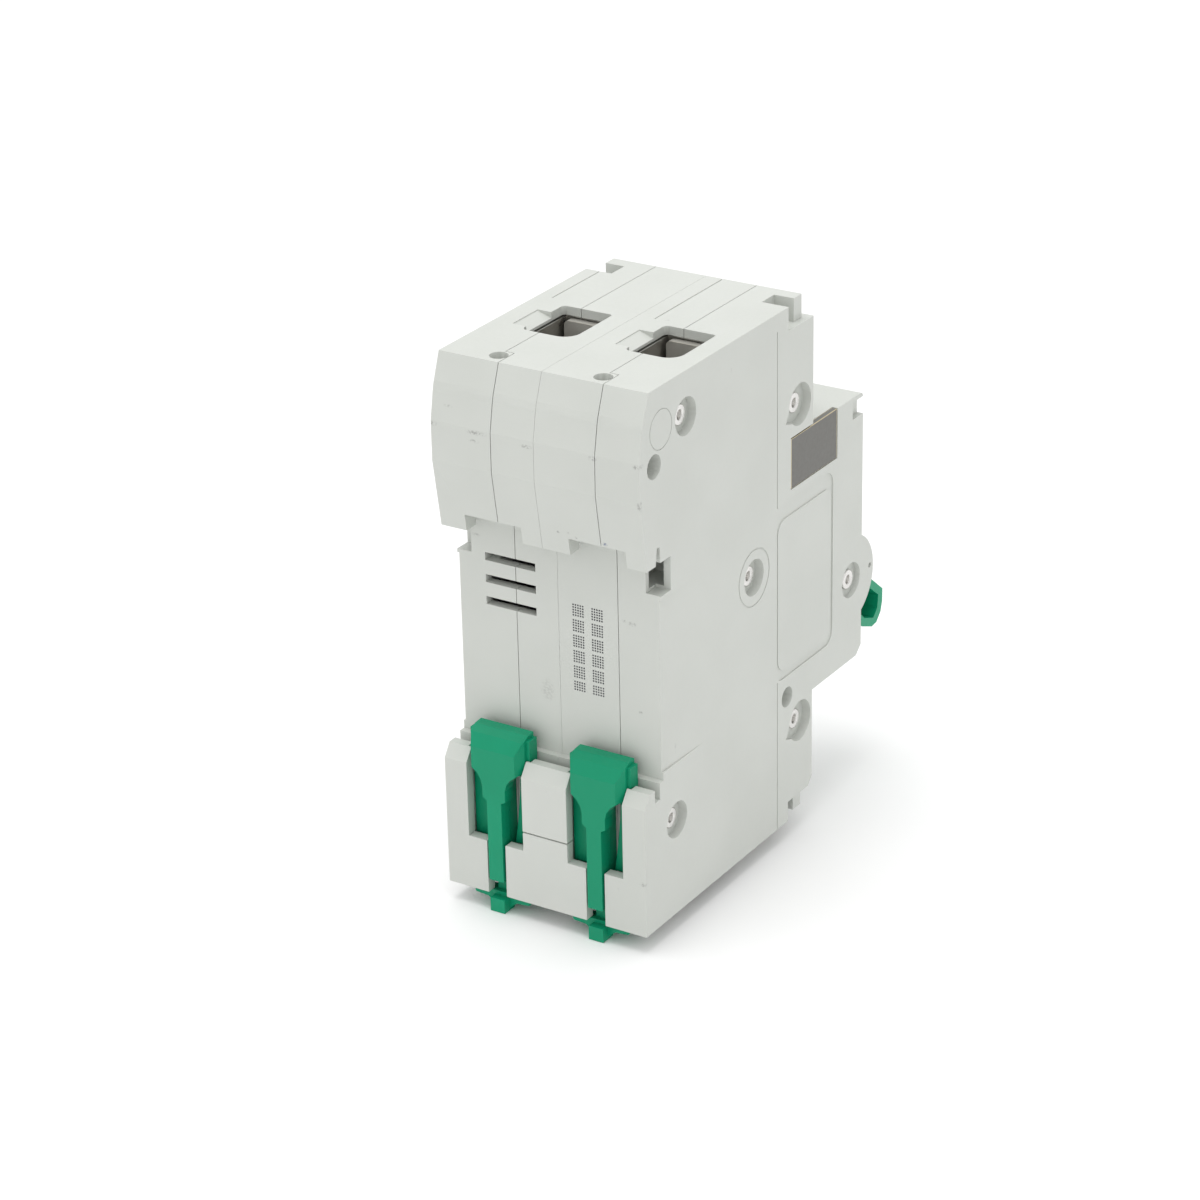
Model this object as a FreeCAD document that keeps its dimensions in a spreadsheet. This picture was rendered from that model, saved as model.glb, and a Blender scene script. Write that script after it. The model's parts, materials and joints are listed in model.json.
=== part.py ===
import FreeCAD, Part
import math
import os

import Sketcher
from FreeCAD import Placement, Rotation, Vector

# A two-module residual-current circuit breaker for a 35 mm top-hat rail, in millimetres.
# The origin is the centre of the rail on the plane that the rail lies against.
# +Z is up, -Y points out of the panel towards the user, +Y goes back to the wall.
# The module at X < 0 is the phase module with the toggle; the one at X > 0 is the sensor module.

SIZES = {
    # housing outline
    "module": 17.8,
    "top_edge": 43.4,
    "bottom_edge": -43.0,
    "top_depth": 43.6,
    "shoulder": 45.2,
    "shoulder_top": 39.6,
    "nose": 61.3,
    "nose_top": 21.9,
    "nose_bottom": -23.1,
    "nose_round": 1.0,
    "nose_chamfer": 1.4,
    "skin": 1.6,
    "divider": 1.0,
    "parting_step": 1.5,
    "seam_gap": 0.12,
    "module_gap": 0.04,
    "mark_depth": 0.12,
    "line_width": 0.25,
    # rail side
    "lip_bottom": 16.2,
    "lip_back": 3.8,
    "back_low_crease": 27.2,
    "back_high_crease": 33.4,
    "back_bulge": 5.5,
    "back_edge": 2.7,
    "block_back": 5.5,
    "block_top": -19.6,
    "ledge_top": -19.0,
    "ledge_depth": 1.1,
    "groove_back": 2.5,
    "groove_floor": -21.7,
    "channel_back": 3.8,
    "channel_half": 5.6,
    "window_half": 4.95,
    "window_floor": -34.1,
    "slot_half": 1.65,
    "clip_head_half": 4.75,
    "bridge_half": 7.25,
    "pillar_half": 4.0,
    "bridge_seam": -31.0,
    # toggle
    "pivot_y": -57.8,
    "pivot_z": -9.1,
    "bulge_radius": 7.4,
    "hub_radius": 6.9,
    "toggle_near": 2.0,
    "toggle_far": 3.8,
    "side_play": 0.3,
    # rivets
    "rivet_radius": 1.2,
    "rivet_bore": 0.7,
    "rivet_head": 1.65,
    "rivet_hole": 1.25,
    "pocket_radius": 2.95,
    "pocket_depth": 1.5,
    "boss_radius": 3.5,
    # pegged holes for accessories
    "peg_depth": 4.0,
    "front_peg_depth": 3.4,
    "back_peg": 1.9,
    "front_peg": 1.7,
    "front_peg_y": -37.2,
    "front_peg_z": -21.0,
    "top_peg": 1.45,
    # terminals
    "terminal_shift": -1.2,
    "terminal_z": 36.0,
    "mirror_z": 0.2,
    "entry_half": 4.35,
    "entry_front": -22.0,
    "entry_back": -10.4,
    "ramp_width": 2.4,
    "ramp_drop": 1.0,
    "ramp_step": 0.15,
    "chamber_half": 5.1,
    "chamber_front": -33.2,
    "chamber_back": -9.3,
    "chamber_low": 30.8,
    "chamber_high": 42.0,
    "cage_half": 4.9,
    "cage_wall": 0.7,
    "cage_front": -24.6,
    "cage_plate": 2.0,
    "cage_back": -9.6,
    "cage_low": 31.2,
    "cage_high": 41.7,
    "screw_shank": 2.45,
    "screw_thread_hole": 2.5,
    "screw_head": 2.85,
    "screw_bore": 3.0,
    "head_front": -38.6,
    "head_back": -34.6,
    "bar_front": -22.4,
    "bar_thick": 1.4,
    "bar_half": 3.7,
    "bar_top": 41.5,
    "bar_end": -28.2,
    # switching parts
    "arm_pivot_y": -35.0,
    "arm_pivot_z": -3.0,
    "arm_swing": 35.0,
    "shaft_radius": 1.0,
    "contact_face": -19.4,
    "bus_thick": 1.2,
    "plunger_z": 21.0,
    "plunger_radius": 2.0,
    "trip_y": -39.2,
    "trip_z": -17.0,
    "trip_low": 12.0,
    "trip_high": 15.0,
    "button_z": 8.0,
    "button_half": 3.3,
    "button_spring_front": -58.05,
    "button_spring_back": -53.75,
}

doc = FreeCAD.newDocument("gfci_breaker")
sheet = doc.addObject("Spreadsheet::Sheet", "Dims")
for row, (alias, size) in enumerate(SIZES.items(), 1):
    sheet.set(f"A{row}", alias)
    sheet.set(f"B{row}", str(size))
    sheet.setAlias(f"B{row}", alias)
doc.recompute()


class Dim:
    """A length kept both as a number and as the sheet expression that gives it."""

    def __init__(self, number, text):
        self.number = number
        self.text = text

    def __add__(self, other):
        other = dim(other)
        return Dim(self.number + other.number, f"({self.text} + {other.text})")

    def __sub__(self, other):
        other = dim(other)
        return Dim(self.number - other.number, f"({self.text} - {other.text})")

    def __rsub__(self, other):
        return dim(other) - self

    def __mul__(self, factor):
        return Dim(self.number * factor, f"({self.text} * {factor})")

    def __neg__(self):
        return self * (-1)

    __radd__ = __add__
    __rmul__ = __mul__


class Sheet:
    """Attribute access to the spreadsheet's cells as Dim values."""

    def __getattr__(self, alias):
        return Dim(SIZES[alias], f"Dims.{alias}")


d = Sheet()
AXES = {"X": Vector(1, 0, 0), "Y": Vector(0, 1, 0), "Z": Vector(0, 0, 1)}
ACROSS = {
    "X": Rotation(Vector(1, 1, 1), 120),
    "Y": Rotation(Vector(1, 0, 0), 90),
    "Z": Rotation(),
}
ALONG = {
    "X": Rotation(Vector(0, 1, 0), 90),
    "Y": Rotation(Vector(1, 0, 0), -90),
    "Z": Rotation(),
}
NODES = []


def dim(value):
    if isinstance(value, Dim):
        return value
    return Dim(float(value), f"({float(value)})")


def bind(obj, path, value):
    obj.setExpression(path, dim(value).text)


def place(obj, position):
    for letter, value in zip("xyz", position):
        bind(obj, f"Placement.Base.{letter}", value)


def node(name, obj):
    """Names a finished sub-part; its label is also its file name."""
    obj.Label = name
    NODES.append(obj)
    return obj


def span(centre, half):
    centre = dim(centre)
    return (centre - half, centre + half)


def ordered(pair):
    low, high = (dim(value) for value in pair)
    return (low, high) if low.number < high.number else (high, low)


def box(name, x, y, z):
    """A box from (low, high) pairs along the three axes."""
    obj = doc.addObject("Part::Box", name)
    x, y, z = ordered(x), ordered(y), ordered(z)
    for prop, (low, high) in zip(("Length", "Width", "Height"), (x, y, z)):
        bind(obj, prop, high - low)
    place(obj, (x[0], y[0], z[0]))
    return obj


def rod(name, axis, at, radius, ends):
    """A cylinder along an axis; at holds its two other coordinates in X, Y, Z order."""
    obj = doc.addObject("Part::Cylinder", name)
    low, high = ordered(ends)
    bind(obj, "Radius", radius)
    bind(obj, "Height", high - low)
    obj.Placement = Placement(Vector(), ALONG[axis])
    position = {"X": (low, *at), "Y": (at[0], low, at[1]), "Z": (*at, low)}[axis]
    place(obj, position)
    return obj


def outline(name, axis, points, at):
    """A closed sketch across an axis, with both distances of every corner bound."""
    sketch = doc.addObject("Sketcher::SketchObject", name)
    sketch.Placement = Placement(Vector(), ACROSS[axis])
    bind(sketch, "Placement.Base." + axis.lower(), at)
    points = [(dim(a), dim(b)) for a, b in points]
    corners = [Vector(a.number, b.number, 0) for a, b in points]
    count = len(corners)
    for i, corner in enumerate(corners):
        sketch.addGeometry(Part.LineSegment(corner, corners[(i + 1) % count]))
    for i in range(count):
        sketch.addConstraint(Sketcher.Constraint("Coincident", i, 2, (i + 1) % count, 1))
    for i, pair in enumerate(points):
        for kind, value in zip(("DistanceX", "DistanceY"), pair):
            rule = Sketcher.Constraint(kind, -1, 1, i, 1, value.number)
            index = sketch.addConstraint(rule)
            sketch.setExpression(f"Constraints[{index}]", value.text)
    return sketch


def prism(name, axis, points, ends):
    """A polygon swept along an axis between two stations."""
    low, high = ordered(ends)
    solid = doc.addObject("Part::Extrusion", name)
    solid.Base = outline(name + "_outline", axis, points, low)
    solid.DirMode = "Custom"
    solid.Dir = AXES[axis]
    solid.Solid = True
    bind(solid, "LengthFwd", high - low)
    return solid


def fuse(name, shapes):
    obj = doc.addObject("Part::MultiFuse", name)
    obj.Shapes = shapes
    obj.Refine = True
    return obj


def cut(name, base, tools):
    obj = doc.addObject("Part::Cut", name)
    obj.Base = base
    obj.Tool = tools[0] if len(tools) == 1 else fuse(name + "_tools", tools)
    obj.Refine = True
    return obj


def common(name, shapes):
    obj = doc.addObject("Part::MultiCommon", name)
    obj.Shapes = shapes
    obj.Refine = True
    return obj


def group(name, shapes):
    """Separate solids that share one node."""
    obj = doc.addObject("Part::Compound", name)
    obj.Links = shapes
    return obj


def rounded(name, base, corners):
    """Rounds the straight edges that run along an axis at the given coordinates."""
    doc.recompute()
    found = []
    for number, edge in enumerate(base.Shape.Edges, 1):
        for axis, at, radius in corners:
            others = [letter for letter in "xyz" if letter != axis.lower()]
            ends = [vertex.Point for vertex in edge.Vertexes]
            if len(ends) == 2 and all(
                abs(getattr(end, letter) - dim(value).number) < 0.01
                for end in ends
                for letter, value in zip(others, at)
            ):
                size = dim(radius).number
                found.append((number, size, size))
    if len(found) < len(corners):
        raise RuntimeError(f"{name}: found {len(found)} of {len(corners)} edges")
    obj = doc.addObject("Part::Fillet", name)
    obj.Base = base
    obj.Edges = found
    return obj


def turned(obj, angle, y, z):
    """Turns a finished shape about a line along X."""
    centre = Vector(0, dim(y).number, dim(z).number)
    obj.Placement = Placement(Vector(), Rotation(Vector(1, 0, 0), angle), centre)
    return obj


def coil(name, axis, at, radius, wire, pitch, ends):
    """A helical wire wound about an axis."""
    low, high = ordered(ends)
    helix = doc.addObject("Part::Helix", name + "_path")
    bind(helix, "Radius", radius)
    bind(helix, "Pitch", pitch)
    bind(helix, "Height", high - low)
    section = doc.addObject("Part::Circle", name + "_section")
    bind(section, "Radius", wire)
    section.Placement = Placement(Vector(), Rotation(Vector(1, 0, 0), 90))
    bind(section, "Placement.Base.x", radius)
    obj = doc.addObject("Part::Sweep", name)
    obj.Sections = [section]
    obj.Spine = (helix, [])
    obj.Solid = True
    obj.Frenet = True
    obj.Placement = Placement(Vector(), ALONG[axis])
    position = {"X": (low, *at), "Y": (at[0], low, at[1]), "Z": (*at, low)}[axis]
    place(obj, position)
    return obj


def tube(name, points, radius):
    """A round lead along straight runs joined by tangent arcs."""
    points = [Vector(*point) for point in points]
    edges = []
    start = points[0]
    for before, corner, after in zip(points, points[1:], points[2:]):
        back = (before - corner).normalize()
        ahead = (after - corner).normalize()
        turn = math.pi - back.getAngle(ahead)
        shorter = min((before - corner).Length, (after - corner).Length)
        reach = 0.45 * shorter
        bend = reach / math.tan(turn / 2)
        arc_start = corner + back * reach
        arc_end = corner + ahead * reach
        middle = (back + ahead).normalize()
        to_centre = math.hypot(bend, reach)
        arc_mid = corner + middle * (to_centre - bend)
        edges.append(Part.LineSegment(start, arc_start).toShape())
        edges.append(Part.Arc(arc_start, arc_mid, arc_end).toShape())
        start = arc_end
    edges.append(Part.LineSegment(start, points[-1]).toShape())
    spine = Part.Wire(edges)
    first = points[1] - points[0]
    ring = Part.Wire(Part.makeCircle(radius, points[0], first))
    obj = doc.addObject("Part::Feature", name)
    obj.Shape = spine.makePipeShell([ring], True, False)
    return obj


# Stations that several sub-parts share.
PHASE_X = d.module * (-0.5)
SENSOR_X = d.module * 0.5
MODULES = {"phase": PHASE_X, "sensor": SENSOR_X}
ENDS = {"top": 1, "bottom": -1}
RIVETS = {
    "back_top": (-7.5, 36.4),
    "front_top": (-41.1, 26.7),
    "back_bottom": (-3.7, -27.2),
    "middle": (-27.0, 3.4),
    "hub": (d.pivot_y, d.pivot_z),
    "front_bottom": (-41.3, -26.8),
}
# The corner of each drop-shaped rivet pocket.
DROPS = {"front_top": (-36.7, 24.8), "front_bottom": (-36.9, -28.4)}


def from_middle(height, end):
    """A height mirrored for the bottom terminals."""
    return d.mirror_z + (height - d.mirror_z) * ENDS[end]


def cavity(module):
    """The hollow of one module, with the solid bosses left round the rivets."""
    side = -1 if module == "phase" else 1
    x = (d.divider * side, (d.module - d.skin) * side)
    main = box("hollow_main", x, (1.8 - d.shoulder, -d.skin), (-29.4, 29.6))
    nose_z = (d.nose_bottom + d.skin, d.nose_top - 1.7)
    nose = box("hollow_nose", x, (d.skin - d.nose, 2 - d.shoulder), nose_z)
    bosses = [
        rod("boss", "X", at, d.boss_radius, x)
        for name, at in RIVETS.items()
        if name != "hub"
    ]
    if module == "sensor":
        bosses.append(rod("hub_boss", "X", RIVETS["hub"], 2.4, x))
        guide_z = (d.button_z - 4.5, d.nose_top - 1.4)
        guide = box("button_guide", (d.divider, 13.6), (-53.4, -52.4), guide_z)
        hole = rod("guide_hole", "Y", (SENSOR_X, d.button_z), 1.5, (-54, -52))
        bosses.append(cut("button_guide_wall", guide, [hole]))
    corner_x = ((d.module - 6.5) * side, d.module * side)
    bosses.append(box("pocket_backing", corner_x, (-9, 0), (8.6, 20)))
    peg_x = ((d.module - d.front_peg_depth - 1) * side, d.module * side)
    bosses.append(rod("peg_boss", "X", (d.front_peg_y, d.front_peg_z), d.front_peg + 0.8, peg_x))
    return cut("hollow", fuse("hollow_room", [main, nose]), bosses)


def terminal_cuts(module, end):
    """Wire entry, cage chamber, screw bore and bar slot of one terminal."""
    x = MODULES[module] + d.terminal_shift
    up = ENDS[end]
    skin_end = d.top_edge + 1 if up > 0 else d.bottom_edge - 1
    low = from_middle(d.chamber_low, end)
    high = from_middle(d.chamber_high, end)
    screw_z = from_middle(d.terminal_z, end)
    shank_hole = d.screw_shank + 0.15
    edge = d.top_edge if up > 0 else d.bottom_edge
    ramp = [
        (x + d.entry_half - 0.1, edge - d.ramp_drop * up),
        (x + d.entry_half + d.ramp_width, edge - d.ramp_step * up),
        (x + d.entry_half + d.ramp_width, edge + 0.05 * up),
        (x + d.entry_half - 0.1, edge + 0.05 * up),
    ]
    entry_y = (d.entry_front, d.entry_back)
    entry = box("entry_room", span(x, d.entry_half), entry_y, (high - up, skin_end))
    entry = rounded("entry", entry, [
        ("Z", (x - d.entry_half, d.entry_back), 2.6),
        ("Z", (x + d.entry_half, d.entry_back), 1.0),
        ("Z", (x - d.entry_half, d.entry_front), 0.4),
        ("Z", (x + d.entry_half, d.entry_front), 0.7),
    ])
    return [
        box("chamber", span(x, d.chamber_half), (d.chamber_front, d.chamber_back), (low, high)),
        entry,
        prism("entry_ramp", "Y", ramp, (-18.6, -11.8)),
        rod("screw_bore", "Y", (x, screw_z), d.screw_bore, (-1 - d.shoulder, d.head_back + 0.2)),
        rod("shank_hole", "Y", (x, screw_z), shank_hole, (d.head_back, d.chamber_front + 0.1)),
        box("bar_slot", span(x, d.bar_half + 0.1), (d.bar_front - 0.2, d.bar_front + 1.6),
            (from_middle(29.0, end), from_middle(31.2, end))),
    ]


def rivet_cuts():
    """Holes through the stack and head pockets in both sides."""
    tools = []
    for name, at in RIVETS.items():
        tools.append(rod("rivet_hole", "X", at, d.rivet_hole, (-d.module, d.module)))
        depth = 1.0 if name == "hub" else d.pocket_depth
        for side in (-1, 1):
            x = ((d.module + 1) * side, (d.module - depth) * side)
            radius = d.pocket_radius
            if name in DROPS:
                radius = radius + 0.45
                tip_y, tip_z = DROPS[name]
                y, z = at
                drop = [(tip_y, tip_z), (y + 1.6, z + 3.0), (y - 0.6, z - 3.3)]
                tools.append(prism("pocket_drop", "X", drop, x))
            tools.append(rod("pocket", "X", at, radius, x))
    return tools


def corner_cuts():
    """Hook slots at the four front corners."""
    tools = []
    for side in (-1, 1):
        inner = (d.module - 4.6) * side
        outer = (d.module + 1) * side
        for z in ((d.shoulder_top, d.top_edge + 1), (-39.6, d.bottom_edge - 1)):
            tools.append(box("hook_slot", (inner, outer), (-41.2, -37.5), z))
            tools.append(box("hook_side", ((d.module - 1.2) * side, outer), (-46, -41), z))
    return tools


def rail_cuts():
    """What the rail side needs: lip slot and notches, side pockets, vents and clip ways."""
    width = (-d.module - 1, d.module + 1)
    slot = [(0.0, 16.1), (1.35, 16.1), (0.95, 18.9), (0.25, 18.9)]
    notch_z = (d.lip_bottom - 1, 18.9)
    tools = [prism("lip_slot", "X", slot, width)]
    for right, left in ((3.4, 13.3), (-14.5, -4.8)):
        tools.append(box("lip_notch", (right, left), (0.9, 6), notch_z))
    for side in (-1, 1):
        edge = (d.module + 1) * side
        tools.append(box("side_pocket", ((d.module - 2.6) * side, edge), (-2.8, 1), (10.9, 16.3)))
        deep_x = ((d.module - 1.2) * side, (d.module - 5.6) * side)
        tools.append(box("deep_pocket", deep_x, (-7.0, -0.9), (11.3, 16.0)))
        relief = [
            (d.module * side, -11.3),
            ((d.module - 0.35) * side, 0.05),
            (d.module * side, 0.05),
        ]
        tools.append(prism("side_relief", "Z", relief, (-17.7, 10.3)))
    for low in (10.1, 6.5, 2.9):
        tools.append(box("vent", (3.9, 12.8), (-d.skin - 1, 1), (low, low + 1.3)))
    for x in MODULES.values():
        behind = d.channel_back - 0.1
        floor = d.bottom_edge - 1
        room = d.ledge_top
        tools += [
            box("channel", span(x, d.channel_half), (1.2, d.channel_back), (floor, room)),
            box("window", span(x, d.window_half), (behind, 7), (d.window_floor, room)),
            box("stem_slot", span(x, d.slot_half), (behind, 7), (floor, d.window_floor + 1)),
        ]
    bridge = d.bridge_half + 0.1
    tools.append(box("bridge_room", (-bridge, bridge), (1.2, 7), (d.bottom_edge - 1, d.ledge_top)))
    return tools


def side_marks():
    """Shallow moulded lines and holes on both side faces."""
    tools = []
    for side in (-1, 1):
        x = ((d.module + 1) * side, (d.module - 0.2) * side)
        edge = d.module * side
        outer = box("ring_outer", x, (-51.7, -34.0), (-17.4, 12.2))
        inner = box("ring_inner", x, (-51.0, -34.3), (-16.0, 9.5))
        outer = rounded("ring_outer_round", outer, [
            ("X", (-51.7, 12.2), 2.2), ("X", (-51.7, -17.4), 2.2),
            ("X", (-34.0, 12.2), 1.6), ("X", (-34.0, -17.4), 1.6),
        ])
        inner = rounded("ring_inner_round", inner, [
            ("X", (-51.0, 9.5), 1.8), ("X", (-51.0, -16.0), 1.8),
            ("X", (-34.3, 9.5), 2.4), ("X", (-34.3, -16.0), 2.4),
        ])
        tools.append(cut("ring", outer, [inner]))
        line_x = ((d.module + 1) * side, (d.module - d.mark_depth) * side)
        line_y = (-34.0 - d.line_width, -34.0)
        tools.append(box("line_up", line_x, line_y, (12.0, 40.5)))
        tools.append(box("line_down", line_x, line_y, (-42.9, -17.3)))
        disc = rod("disc", "X", (-27.0, 3.4), 4.7, line_x)
        tools.append(cut("disc_line", disc, [rod("disc_core", "X", (-27.0, 3.4), 4.4, line_x)]))
        ejector = rod("ejector", "X", (-0.6, 36.8), 3.1, line_x)
        core = rod("ejector_core", "X", (-0.6, 36.8), 2.95, line_x)
        tools.append(cut("ejector_line", ejector, [core]))
        deep = (edge, (d.module - d.peg_depth) * side)
        tools.append(rod("back_peg_hole", "X", (1.4, 31.7), d.back_peg, deep))
        front = (d.front_peg_y, d.front_peg_z)
        shallow = (edge, (d.module - d.front_peg_depth) * side)
        tools.append(rod("front_peg_hole", "X", front, d.front_peg, shallow))
        notch_x = ((d.module - 1.1) * side, (d.module + 1) * side)
        tools.append(box("nose_notch", notch_x, (-63, -57.9), (18.2, 21.1)))
        tools.append(rod("bulge_hole", "X", (-64.1, -8.9), 0.45, (edge, (d.module - 0.8) * side)))
    tools.append(box("plate_pocket", (-d.module - 1, 1 - d.module), (-53.0, -38.3), (13.6, 22.1)))
    return tools


def front_cuts():
    """Toggle slot, test button opening and the passages between the modules."""
    play = d.side_play
    slot_x = (d.toggle_near - play - d.module, play - d.toggle_far)
    hub = (d.pivot_y, d.pivot_z)
    walls = (-1.2, 1.2)
    return [
        box("toggle_slot", slot_x, (-67, -50), (d.pivot_z - 8.3, d.pivot_z + 7.7)),
        rod("hub_room", "X", hub, d.hub_radius + 0.4, slot_x),
        box("button_hole", span(SENSOR_X, d.button_half + 0.15), (-63, -58),
            span(d.button_z, d.button_half + 0.15)),
        box("trip_passage", walls, (-43.2, -37.4), (11, 16)),
        rod("wire_passage", "X", (-24.5, -11.0), 1.4, walls),
        rod("trip_socket", "X", (d.trip_y, d.trip_z), 0.85, (0.8 - d.module, 1.7 - d.module)),
        rod("shaft_hole", "X", (d.arm_pivot_y, d.arm_pivot_z), d.shaft_radius + 0.06,
            (0.8 - d.module, d.module - 0.8)),
    ]


def top_marks():
    """Blind holes in the top and the moulded seam lines."""
    low = d.top_edge - 0.15
    high = d.top_edge + 1
    tools = [
        box("seam", (-3.05, -2.85), (-44, -23.6), (low, high)),
        box("seam", (15.2, 15.4), (-37.5, -24.0), (low, high)),
    ]
    for x in MODULES.values():
        depth = (d.top_edge - d.peg_depth, d.top_edge + 1)
        tools.append(rod("top_hole", "Z", (x, 0.3), d.top_peg, depth))
    return tools


def housing():
    """The whole moulded housing before it is parted into its four shells."""
    points = [
        (d.back_edge, d.top_edge),
        (-d.top_depth, d.top_edge),
        (-d.top_depth, d.shoulder_top),
        (-d.shoulder, d.shoulder_top),
        (-d.shoulder, d.nose_top),
        (-d.nose, d.nose_top),
        (-d.nose, d.nose_bottom + d.nose_chamfer),
        (-d.nose + 1.6, d.nose_bottom),
        (-d.shoulder, d.nose_bottom),
        (-d.shoulder, -38.2),
        (-d.top_depth, -40.1),
        (-d.top_depth, d.bottom_edge),
        (d.block_back, d.bottom_edge),
        (d.block_back, d.groove_floor),
        (d.block_back - 1.5, d.block_top),
        (d.groove_back, d.block_top),
        (d.groove_back, d.groove_floor),
        (d.ledge_depth, d.groove_floor),
        (d.ledge_depth, d.ledge_top),
        (0.0, d.ledge_top),
        (0.0, d.lip_bottom),
        (d.lip_back, d.lip_bottom),
        (d.back_bulge, d.back_low_crease),
        (d.back_bulge - 0.05, d.back_high_crease),
        (4.5, 38.5),
    ]
    body = prism("housing_outline", "X", points, (-d.module, d.module))
    body = rounded("housing_round", body, [
        ("X", (-d.nose, d.nose_top), d.nose_round),
        ("X", (4.5, 38.5), 9.0),
    ])
    bulge = rod("bulge", "X", (d.pivot_y, d.pivot_z), d.bulge_radius, (-d.module, 0))
    tools = [cavity("phase"), cavity("sensor")]
    for module in MODULES:
        for end in ENDS:
            tools += terminal_cuts(module, end)
    tools += rivet_cuts() + corner_cuts() + rail_cuts()
    tools += side_marks() + front_cuts() + top_marks()
    return cut("housing", fuse("housing_block", [body, bulge]), tools)


def shells():
    """Parts each module at its middle, stepped aside on the rail side."""
    whole = housing()
    y = (-80, 20)
    z = (-60, 60)
    gap = d.seam_gap * 0.5
    joint = d.module_gap * 0.5
    for name, x, low, high in (
        ("breaker", PHASE_X, -d.module, -joint),
        ("sensor", SENSOR_X, joint, d.module),
    ):
        step_x = x - d.parting_step
        left = cut("left_room", box("left_half", (low, x - gap), y, z), [
            box("left_step", (step_x - gap, x), (-1.5 - gap, 20), z),
        ])
        right = fuse("right_room", [
            box("right_half", (x + gap, high), y, z),
            box("right_step", (step_x + gap, x + 1), (gap - 1.5, 20), z),
        ])
        outer, inner = (left, right) if name == "breaker" else (right, left)
        node(name + "_cover", common(name + "_cover_shell", [whole, outer]))
        node(name + "_case", common(name + "_case_shell", [whole, inner]))


def bridge():
    """The piece that joins both modules under the rail clips, and its cap."""
    behind = (d.channel_back, d.block_back)
    core_x = (-3.1, 3.1)
    core_y = (1.2, d.channel_back)
    seam = d.bridge_seam
    wide = (-d.bridge_half, d.bridge_half)
    narrow = (-d.pillar_half, d.pillar_half)
    node("module_bridge", fuse("bridge_body", [
        box("bridge_foot", wide, behind, (d.bottom_edge, d.window_floor)),
        box("bridge_stem", narrow, behind, (d.window_floor, seam)),
        box("bridge_core", core_x, core_y, (d.bottom_edge, seam)),
    ]))
    cap_low = seam + 0.2
    edge = [
        (d.channel_back, cap_low),
        (d.block_back, cap_low),
        (d.block_back, d.groove_floor),
        (d.block_back - 1.5, d.block_top),
        (d.groove_back, d.block_top),
        (d.groove_back, d.groove_floor),
        (d.channel_back, d.groove_floor),
    ]
    cap = fuse("cap_body", [
        prism("cap_edge", "X", edge, narrow),
        box("cap_core", core_x, core_y, (cap_low, d.groove_floor)),
    ])
    reliefs = [
        box("ear_relief", (3.3 * side, 5 * side), (1, d.channel_back - 0.1), (-22, -19))
        for side in (-1, 1)
    ]
    node("bridge_cap", cut("cap_cut", cap, reliefs))


def rivets():
    """Tubular rivets through the whole stack."""
    solids = []
    end = d.module - d.pocket_depth
    for name, at in RIVETS.items():
        reach = d.module - 1.0 if name == "hub" else end
        body = fuse("rivet_body", [
            rod("rivet_tube", "X", at, d.rivet_radius, (-reach, reach)),
            rod("rivet_head", "X", at, d.rivet_head, (reach, reach + 0.5)),
            rod("rivet_head", "X", at, d.rivet_head, (-reach - 0.5, -reach)),
        ])
        bore = rod("rivet_eye", "X", at, d.rivet_bore, (-d.module, d.module))
        solids.append(cut("rivet", body, [bore]))
    node("rivets", group("rivet_group", solids))


def side_plate():
    x = (0.05 - d.module, 1 - d.module)
    node("side_window_plate", box("plate", x, (-52.9, -38.4), (13.7, 21.85)))


def rail_clip(name, x):
    """Sliding rail clip with its guide ears, spring legs, stem, pull slot and foot."""
    front = 1.4
    plate = 3.5
    back = d.block_back + 0.2
    head_top = -15.7
    head_side = [
        (front, head_top),
        (3.0, head_top - 0.1),
        (4.4, head_top - 0.8),
        (back, head_top - 2.7),
        (back, -21.6),
        (front, -21.6),
    ]
    neck_side = [
        (4.7, -21.0), (4.7, -21.6), (3.8, -22.0), (2.95, -22.7), (2.35, -23.6), (2.05, -24.7),
        (2.05, -26.6), (1.3, -27.0), (1.3, -40.6),
    ]
    neck = [(x + across, z) for across, z in neck_side]
    neck += [(x - across, z) for across, z in reversed(neck_side)]
    pieces = [
        prism("clip_head", "X", head_side, span(x, d.clip_head_half)),
        box("clip_ears", span(x, 5.3), (front, plate), (-20.4, -16.4)),
        prism("clip_neck", "Y", neck, (plate, back)),
        box("clip_spine", span(x, 1.3), (front, 3.4), (-45.0, -21.0)),
        box("clip_foot", span(x, 1.3), (2.9, back), (-46.0, -43.7)),
    ]
    for side in (-1, 1):
        leg = [
            (x + 5.3 * side, -20.0), (x + 5.3 * side, -34.6), (x + 1.9 * side, -34.6),
            (x + 2.4 * side, -31.0), (x + 3.0 * side, -25.5), (x + 3.2 * side, -20.0),
        ]
        pieces.append(prism("clip_leg", "Y", leg, (front, 2.9)))
        wing = [
            (x, -43.1), (x + 5.2 * side, -43.1), (x + 4.9 * side, -44.3),
            (x + 2.6 * side, -44.5), (x + 1.2 * side, -45.6), (x, -45.6),
        ]
        pieces.append(prism("clip_wing", "Y", wing, (2.2, 4.3)))
    body = fuse(name + "_body", pieces)
    corner = d.clip_head_half + 0.1
    node(name, cut(name + "_cut", body, [
        prism("clip_bevel", "Z", [
            (x - corner, 3.9), (x - corner + 1, back + 0.1), (x - corner, back + 0.1),
        ], (-23, -15)),
        prism("clip_bevel", "Z", [
            (x + corner, 3.9), (x + corner - 1, back + 0.1), (x + corner, back + 0.1),
        ], (-23, -15)),
    ]))


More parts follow.
